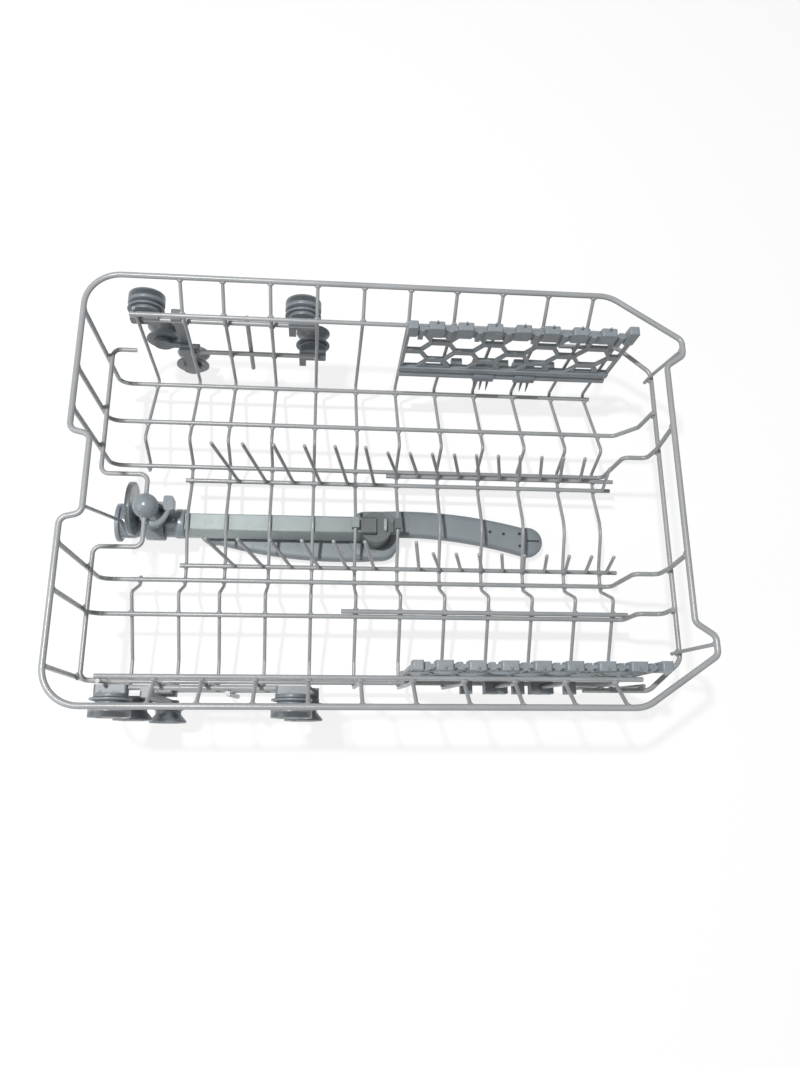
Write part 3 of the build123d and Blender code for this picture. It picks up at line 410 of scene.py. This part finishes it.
# %% Welds of the walls
RIM_RUN = 2.6
RIM_SIDE_RUN = 2.4
SIDE_WIRE_RUN = 3.3
rail_welds = ((UPPER_RAIL_DROP, cross_xs[:3]), (LOWER_RAIL_DROP, cross_xs[:4]), (FRONT_RING_DROP, cross_xs[9:]))
flare = np.array([FLARE_WIDTH, FLARE_DROP]) / np.hypot(FLARE_WIDTH, FLARE_DROP)
for side in (1, -1):
    outwards = along_y * side
    inwards = np.array([0.0, -side * flare[0], -flare[1]])
    rim = np.array([0.0, side * RIM_SIDE_Y, RIM_Z])
    for x in cross_xs[:-1]:
        fillet(rim + inwards * RIM_R + along_x * x, along_x, inwards, CROSS_RUN, RIM_SIDE_RUN)
        bend = np.array([x, side * (WALL_TOP_Y - CROSS_R), RIM_Z - FLARE_DROP])
        fillet(bend, along_x, outwards, CROSS_RUN, SIDE_WIRE_RUN)
    for drop, xs in rail_welds:
        for x in xs:
            touch = np.array([x, side * (wall_y(drop) + CROSS_R), RIM_Z - drop])
            fillet(touch, along_x, outwards, CROSS_RUN, FLOOR_RUN)
    for y in (*INNER_FLOOR, OUTER_FLOOR[side]):
        fillet(np.array([RIM_REAR_X, side * y, RIM_Z - RIM_R]), along_y, -upright, FLOOR_RUN, RIM_RUN)
        touch = np.array([REAR_TOUCH_X, side * y, RIM_Z - REAR_WIRE_DROP])
        fillet(touch, along_y, along_x, FLOOR_RUN, FLOOR_RUN)
    for y in (*INNER_FLOOR, EAR_Y):
        touch = np.array([FRONT_TOUCH_X, side * y, RIM_Z - FRONT_RING_DROP])
        fillet(touch, along_y, along_x, FLOOR_RUN, FLOOR_RUN)
    fillet(np.array([RIM_FRONT_X, side * INNER_FLOOR[0], RIM_Z - RIM_R]), along_y, -upright, FLOOR_RUN, RIM_RUN)
    fillet(np.array([EAR_X, side * EAR_Y, RIM_Z - RIM_R]), along_y, -upright, CROSS_RUN, RIM_RUN)
print("welds in all", len(fillets))


# %% Eggs at the welds
def eggs(marks, rings=7, points=14):
    """Unit balls as rings of radius sin(phi) at height -cos(phi), stretched and turned to each mark's frame."""
    phi = np.pi * (np.arange(rings) + 0.5) / rings
    across, up = circle(points)
    ball = np.stack(np.broadcast_arrays(
        np.sin(phi)[:, None] * across, np.sin(phi)[:, None] * up, -np.cos(phi)[:, None]), axis=-1)
    frames = np.array([[along, side, over] for _, along, side, over, _ in marks])
    sizes = np.array([half for *_, half in marks])
    centres = np.array([centre for centre, *_ in marks])
    return centres[:, None, None] + np.einsum("rpi,ni,nij->nrpj", ball, sizes, frames)


add_piece("weld_fillets", [skin(eggs(fillets))], "basket", [finishes["coated_wire"]])

# %% [markdown]
# ## Spray arm
# The arm is two hollow blades of moulded plastic on a boss. Its outline is the solid's: two curves that run from the
# hub to a round tip. A bevel on the solid would round its edges too, but not as widely as a moulding's, so the arm is
# made anew from sections, each a rounded box that catches the light. The jets and the slit at the tip are low rims
# round near-black floors, painted shade that stands in for the dark inside the hollow arm, which needs no holes in
# the blades.

# %% Blades and boss
ARM_MIDDLE_Z = 14.1
ARM_HALF_HIGH = 6.5
ARM_X = -2.0
BLADE_ROOT_X = 4.0
MID_X = 90.0
TIP_X = 156.0
TIP_CENTRE = (160.19, -3.25)
TIP_R = 15.33
BOSS_R = 25.0
BORE_R = 9.1
BOSS_FOOT = 7.6
BOSS_TOP = 22.1
BOSS_POWER = 3.2
far_edge = np.polyfit((0.0, MID_X, TIP_X), (25.5, 23.5, 11.5), 2)
near_edge = np.polyfit((0.0, MID_X, TIP_X), (-1.0, -4.0, -18.0), 2)
arm_shift = np.array([ARM_X, 0.0, ARM_MIDDLE_Z])


def half_turn(points):
    """The same points turned half round the hub."""
    return points * [-1, -1, 1]


def blade(stations=40, tip_stations=14, points=44):
    """Rounded-box sections: between the two edge curves along the blade, then along the arc of the round tip."""
    x = np.linspace(BLADE_ROOT_X, TIP_X, stations)
    far, near = np.polyval(far_edge, x), np.polyval(near_edge, x)
    start = np.arcsin((TIP_X - TIP_CENTRE[0]) / TIP_R)
    turn = np.linspace(start, radians(89.0), tip_stations + 1)[1:]
    x = np.concatenate([x, TIP_CENTRE[0] + TIP_R * np.sin(turn)])
    middle = np.concatenate([(far + near) / 2, np.full(tip_stations, TIP_CENTRE[1])])
    half = np.concatenate([(far - near) / 2, TIP_R * np.cos(turn)])
    high = ARM_HALF_HIGH * np.concatenate([np.ones(stations), np.cos(turn) ** 0.3])
    across, up = squircle(points, 5.0)
    y = middle[:, None] + half[:, None] * across
    z = high[:, None] * up
    return np.stack(np.broadcast_arrays(x[:, None], y, z), axis=-1)


def turned(radius, height, square, points=64):
    """Closed section turned about an upright line; `square` pulls each ring by its share towards a rounded square."""
    across, up = circle(points)
    reach = (np.abs(across) ** BOSS_POWER + np.abs(up) ** BOSS_POWER) ** (-1 / BOSS_POWER)
    away = np.array(radius)[:, None] * (1.0 + np.array(square)[:, None] * (reach - 1.0))
    return np.stack(np.broadcast_arrays(away * across, away * up, height[:, None]), axis=-1)


def boss():
    """A thick ring about the hub's line: its section runs down the bore, out, and up round the rounded outside."""
    radius = [BORE_R, BORE_R, BOSS_R - 1.5, BOSS_R, BOSS_R, BOSS_R - 0.6, BOSS_R - 2.2, BORE_R + 0.6]
    height = np.array([BOSS_TOP - 0.6, BOSS_FOOT, BOSS_FOOT, BOSS_FOOT + 1.5, BOSS_TOP - 2.2, BOSS_TOP - 0.6,
                       BOSS_TOP, BOSS_TOP])
    return turned(radius, height - ARM_MIDDLE_Z, [0, 0, 1, 1, 1, 1, 1, 0])


blades = np.stack([blade(), half_turn(blade())])
print("sections along a blade", blades.shape[1])

# %% Jets and slit
JETS = ((120.4, 6.0), (134.4, 4.0), (151.2, 4.5), (151.2, -8.5))
SLIT = (165.5, -3.0)
SLIT_HALF = 5.0
MOUTH_R = 1.52


def mouths(places, stretch, points=24):
    """Low rims round near-black floors of painted shade: rings that rise to a lip and drop inside it; `stretch` pulls
    them to a slit.
    """
    radius = np.array([2.3, 2.1, 1.6, 1.4, 0.5])
    height = np.array([-1.0, 0.25, 0.3, 0.08, 0.06])
    across, up = circle(points)
    x = radius[:, None] * across + stretch * np.sign(np.round(across, 6))
    y = radius[:, None] * up * (0.5 if stretch else 1.0)
    ring = np.stack(np.broadcast_arrays(x, y, height[:, None] + ARM_HALF_HIGH), axis=-1)
    return np.array([ring + [px, py, 0.0] for px, py in places])


def in_mouth(centres):
    """True for faces that lie inside a jet or the slit, just over the arm's top: they get the near-black painted
    shade.
    """
    local = centres - arm_shift
    inside = np.zeros(len(local), dtype=bool)
    for points in (local, half_turn(local)):
        for jx, jy in JETS:
            inside |= np.hypot(points[:, 0] - jx, points[:, 1] - jy) < MOUTH_R
        slit = np.maximum(np.abs(points[:, 0] - SLIT[0]) - SLIT_HALF, 0.0)
        inside |= np.hypot(slit, 2 * (points[:, 1] - SLIT[1])) < MOUTH_R
    return inside & (np.abs(local[:, 2] - ARM_HALF_HIGH) < 0.5) & (local[:, 2] > ARM_HALF_HIGH)


jets = mouths(JETS, 0.0)
slits = mouths((SLIT,), SLIT_HALF)
arm_skins = [
    skin(blades + arm_shift),
    skin(boss()[None] + arm_shift, loop=True),
    skin(np.concatenate([jets, half_turn(jets)]) + arm_shift),
    skin(np.concatenate([slits, half_turn(slits)]) + arm_shift),
]
arm = add_piece("arm_moulding", arm_skins, "spray_arm", [arm_plastic, jet_painted_shade], 50.0, in_mouth)
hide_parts("spray_arm")

# %% [markdown]
# ## Ribs and pips
# A moulded roller has ribs in its hollow outer face. The hub carries an upright post between its hooks, each block
# along the free edge of a shelf has a small pip on top, and the shelf's clips end in thin prongs below the hinge. The
# pipe's clamp has a bent strap below its dome. Boxes with a bevel would do for some of these. Rings of a rounded
# square do for all of them, and they can taper, lean and bend.

# %% Ribs of the rollers
ROLLERS = [name for name in frame["bodies"] if name.startswith("roller_")]
RIB_COUNT = 8
RIB_INNER = 7.0
RIB_OUTER = 11.7
RIB_HALF = 0.8
RIB_HIGH = 2.5
FACE_DEPTH = 3.0


def roller_ribs(node):
    """Radial ribs: a rounded-box section carried out from the hub to the rim, copied round the axle."""
    low, high = box_mm(node)
    side = np.sign(low[1])
    middle = (low + high) / 2
    floor_y = side * (np.abs([low[1], high[1]]).max() - FACE_DEPTH)
    across, up = squircle(16, 5.0)
    run = np.linspace(RIB_INNER, RIB_OUTER, 4)
    turn = 2 * np.pi * np.arange(RIB_COUNT) / RIB_COUNT
    outwards = np.stack([np.cos(turn), 0 * turn, np.sin(turn)], axis=-1)[:, None, None]
    sideways = np.stack([-np.sin(turn), 0 * turn, np.cos(turn)], axis=-1)[:, None, None] * side
    axis = np.array([0.0, side, 0.0])
    depth = RIB_HIGH / 2 * (up + 0.9)
    ring = outwards * run[:, None, None] + sideways * (RIB_HALF * across)[:, None] + axis * depth[:, None]
    ring = ring[:, :, ::-1]
    return ring + [middle[0], floor_y, middle[2]]


for roller in ROLLERS:
    add_piece("ribs_" + roller, [skin(roller_ribs(roller))], roller, [finishes["roller_plastic"]])

# %% Post and pips
POST_PLACE = (7.0, 1.0)
SHELF_X = 120.0
PIP_PITCH = 26.0
PIP_Y = 149.5


def upright_boxes(places, half_x, half_y, foot, top, power):
    """Rounded boxes that stand at the given places, a little narrower at the top."""
    across, up = squircle(28, power)
    height = np.array([foot, top - 1.0, top - 0.3, top])
    shrink = np.array([1.0, 0.94, 0.86, 0.7])[:, None]
    ring = np.stack(np.broadcast_arrays(half_x * shrink * across, half_y * shrink * up, height[:, None]), axis=-1)
    return np.array([ring + [x, y, 0.0] for x, y in places])


hub_post = upright_boxes((POST_PLACE,), half_x=1.8, half_y=6.5, foot=50.5, top=58.5, power=6.0)
add_piece("hub_post", [skin(hub_post)], "basket", [post_plastic])
for name, side in (("far", 1), ("near", -1)):
    places = [(SHELF_X + PIP_PITCH * i, side * PIP_Y) for i in range(-3, 4)]
    pips = upright_boxes(places, half_x=0.8, half_y=1.2, foot=187.0, top=191.5, power=2.5)
    slot = "shelf_plastic"
    add_piece(f"shelf_pips_{name}", [skin(pips)], f"cup_shelf_{name}", [finishes[slot]])

# %% Prongs and strap
CLIP_WIRES = (7, 8)
HINGE_Y = 147.5
PRONG_PITCH = 6.5


def prongs(places, root, tip, lean):
    """Thin hanging fingers: rings that widen from the tip up to the root; each tip leans to the middle plane."""
    across, up = squircle(14, 3.0)
    height = np.linspace(tip, root, 6)
    half = 0.35 + 1.25 * np.linspace(0.0, 1.0, 6)[:, None] ** 0.7
    ring = np.stack(np.broadcast_arrays(half * across, 1.4 * half * up, height[:, None]), axis=-1)
    shift = lean * np.linspace(1.0, 0.0, 6)[:, None, None] * along_y
    return np.array([ring + [x, y, 0.0] - np.sign(y) * shift for x, y in places])


def bent_bar(start, knee, end, half_wide, half_high, stations=16):
    """An oval bar along a curve that leaves the start towards the knee and comes from there to the end."""
    t = np.linspace(0.0, 1.0, stations)[:, None]
    start, knee, end = np.array([start, knee, end])
    middle = (1 - t) ** 2 * start + 2 * t * (1 - t) * knee + t ** 2 * end
    ahead = (1 - t) * (knee - start) + t * (end - knee)
    left = np.cross(upright, ahead)
    left = left / np.linalg.norm(left, axis=1, keepdims=True)
    thin = (1 - np.abs(2 * t - 1) ** 6 * 0.6)[:, None]
    across, up = squircle(18, 2.6)
    ring = left[:, None] * (half_wide * across)[:, None] + upright * (half_high * up)[:, None]
    return (middle[:, None] + ring * thin)[None]


prong_places = [
    (cross_xs[i] + PRONG_PITCH * k, side * HINGE_Y) for i in CLIP_WIRES for k in (-1, 0, 1) for side in (1, -1)]
clip_prongs = prongs(prong_places, root=89.0, tip=74.0, lean=7.0)
add_piece("clip_prongs", [skin(clip_prongs)], "basket", [finishes["clip_plastic"]])
strap = bent_bar(start=(-217.0, -7.5, 97.0), knee=(-203.0, -24.0, 97.0), end=(-196.0, 4.5, 85.5),
                 half_wide=2.6, half_high=2.2)
add_piece("clamp_strap", [skin(strap)], "basket", [post_plastic])

# %% [markdown]
# ## Broken edges
# No moulded edge is sharp. The roundings could be cut in the solids, but they are too small to matter there. Here a
# weld joins a solid's split corners, and a bevel rounds each edge that turns by more than the limit; its hardened
# normals keep the flats flat. Both are modifiers, so the solids' own points stay as they are.

# %% Broken edges
EDGE_WIDTHS = {"cup_shelf": 0.45, "shelf_clips": 0.4, "roller": 0.5, "pipe_clamp": 0.7, "inlet_pipe": 0.6,
               "spray_duct": 0.8, "hub_nut": 0.6}
SKIPPED = ("roller_rails",)
WELD_REACH = 0.002
SHARP_TURN = 40.0


def broken_edges(piece, width):
    """A weld and a bevel of the given width on one solid."""
    weld = piece.modifiers.new("weld", "WELD")
    weld.merge_threshold = WELD_REACH * MM
    bevel = piece.modifiers.new("bevel", "BEVEL")
    bevel.width = width * MM
    bevel.segments = 2
    bevel.limit_method = "ANGLE"
    bevel.angle_limit = radians(SHARP_TURN)
    bevel.use_clamp_overlap = True
    bevel.harden_normals = True


rounded = 0
for name, piece in nodes.items():
    for start, width in EDGE_WIDTHS.items():
        if name.startswith(start) and not name.startswith(SKIPPED):
            broken_edges(piece, width)
            rounded += 1
print("broken edges on", rounded)

# %% [markdown]
# ## Studio
# The basket stands on a white floor under a white world. Strong light would make both white, but would bleach the
# object too. So the Light Path node makes them white where the camera sees them, and the object is lit at a plain
# level. The floor keeps its shadow. One small lamp high up on the left lights the tops and draws the wires' shadows
# on the duct; a wide one, lower on the same side, makes the left end brighter than the right.

# %% Floor and world
FLOOR_GLOW = 0.8
WORLD_LEVEL = 0.3


def white_floor(size, height):
    """A flat square just below the lowest piece; its own white, which the camera alone sees, pales the shadow."""
    corner = np.array([[-1, -1, 0], [1, -1, 0], [1, 1, 0], [-1, 1, 0]]) * size + [0, 0, height]
    mesh = bpy.data.meshes.new("floor")
    mesh.from_pydata(corner.tolist(), [], [(0, 1, 2, 3)])
    floor = bpy.data.objects.new("floor", mesh)
    bpy.context.scene.collection.objects.link(floor)
    finish = Finish("white_floor")
    finish.surface(base_color=(0.9, 0.9, 0.9, 1.0), roughness=0.6)
    seen = finish.node("ShaderNodeLightPath", output="Is Camera Ray")
    lit = Value(finish, finish.shader.outputs[0])
    glow = finish.node("ShaderNodeEmission")
    mixed = finish.node("ShaderNodeMixShader", {}, {0: FLOOR_GLOW * seen, 1: lit, 2: glow})
    finish.feed(finish.nodes["Material Output"].inputs["Surface"], mixed)
    mesh.materials.append(finish.material)
    return floor


def white_world(strength):
    """White to the camera and to what it sees mirrored or through, and a plain level of light for the rest."""
    world = bpy.data.worlds.new("studio")
    bpy.context.scene.world = world
    world.use_nodes = True
    sky = Wiring(world.node_tree)
    rays = ("Is Camera Ray", "Is Glossy Ray", "Is Transmission Ray")
    camera_ray, glossy_ray, transmission_ray = (sky.node("ShaderNodeLightPath", output=ray) for ray in rays)
    seen = camera_ray.either(glossy_ray).either(transmission_ray)
    back = sky.nodes["Background"]
    sky.feed(back.inputs["Color"], (1.0, 1.0, 1.0, 1.0))
    sky.feed(back.inputs["Strength"], strength + (1 - strength) * seen)


white_floor(6.0, -1 * MM)
white_world(WORLD_LEVEL)
print("floor and world, lit at", WORLD_LEVEL)


# %% Lamps
def lamp(name, place, target, size, power):
    """A square area lamp that faces a target."""
    data = bpy.data.lights.new(name, "AREA")
    data.shape = "SQUARE"
    data.size = size
    data.energy = power
    light = bpy.data.objects.new(name, data)
    light.location = place
    light.rotation_euler = (Vector(target) - Vector(place)).to_track_quat("-Z", "Y").to_euler()
    bpy.context.scene.collection.objects.link(light)


lamp("key", place=(-0.42, 0.05, 1.75), target=(0, 0, 0.1), size=0.07, power=28)
lamp("fill", place=(-1.1, -0.5, 0.9), target=(-0.1, 0, 0.1), size=0.9, power=8)
print("lamps", len(bpy.data.lights))

# %% [markdown]
# ## Camera
# A camera set by eye never quite meets a picture. This one was solved from the photograph's straight wires: its
# focal length in pixels, the point where its axis meets the picture, and its place and directions in the basket's
# own frame.

# %% Camera
PHOTO_WIDTH = 800
PHOTO_HEIGHT = 1067
FOCAL_PIXELS = 820.9
AXIS_X = 382.56
AXIS_Y = 510.19
SENSOR = 36.0
EYE = Vector((-60.9, -214.84, 826.3)) * MM
RIGHT = Vector((0.99647, -0.00104, 0.08398))
DOWN = Vector((0.02303, -0.9582, -0.28517))
AHEAD = Vector((0.08077, 0.2861, -0.95479))
camera_data = bpy.data.cameras.new("camera")
camera_data.sensor_width = SENSOR
camera_data.lens = FOCAL_PIXELS / PHOTO_HEIGHT * SENSOR
camera_data.shift_x = (PHOTO_WIDTH / 2 - AXIS_X) / PHOTO_HEIGHT
camera_data.shift_y = (AXIS_Y - PHOTO_HEIGHT / 2) / PHOTO_HEIGHT
camera = bpy.data.objects.new("camera", camera_data)
camera.matrix_world = Matrix.Translation(EYE) @ Matrix((RIGHT, -DOWN, -AHEAD)).transposed().to_4x4()
bpy.context.scene.collection.objects.link(camera)
bpy.context.scene.camera = camera
bpy.context.scene.view_settings.view_transform = "Standard"
print("lens", round(camera_data.lens, 2))
